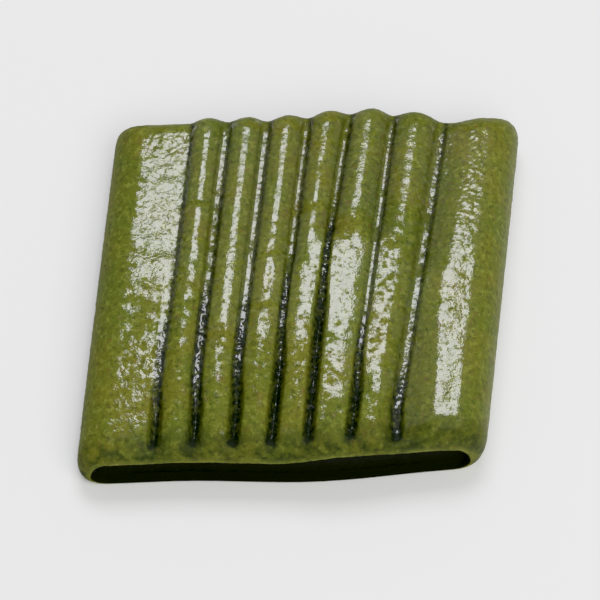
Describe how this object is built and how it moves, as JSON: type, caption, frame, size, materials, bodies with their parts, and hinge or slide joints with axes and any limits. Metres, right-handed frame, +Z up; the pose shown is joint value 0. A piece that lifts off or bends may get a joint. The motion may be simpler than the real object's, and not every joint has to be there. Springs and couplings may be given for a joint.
{
  "type": "pressed rice cake",
  "caption": "Pressed strip of green steamed rice dough with a ribbed top, rounded sides and pinch-cut ends, glossed with oil.",
  "frame": {"origin": "centre of the base, on the surface that the rice cake lies on", "axes": "+Z up, +Y along the ridges towards the bulging back cut, +X across them to the right"},
  "size_m": [0.0618, 0.0658, 0.0124],
  "materials": {
    "green_rice_dough": "moist dough glossed with oil, with a fine grain and small dark flecks"
  },
  "bodies": {
    "root": {"rice_cake": "green_rice_dough"}
  },
  "joints": []
}
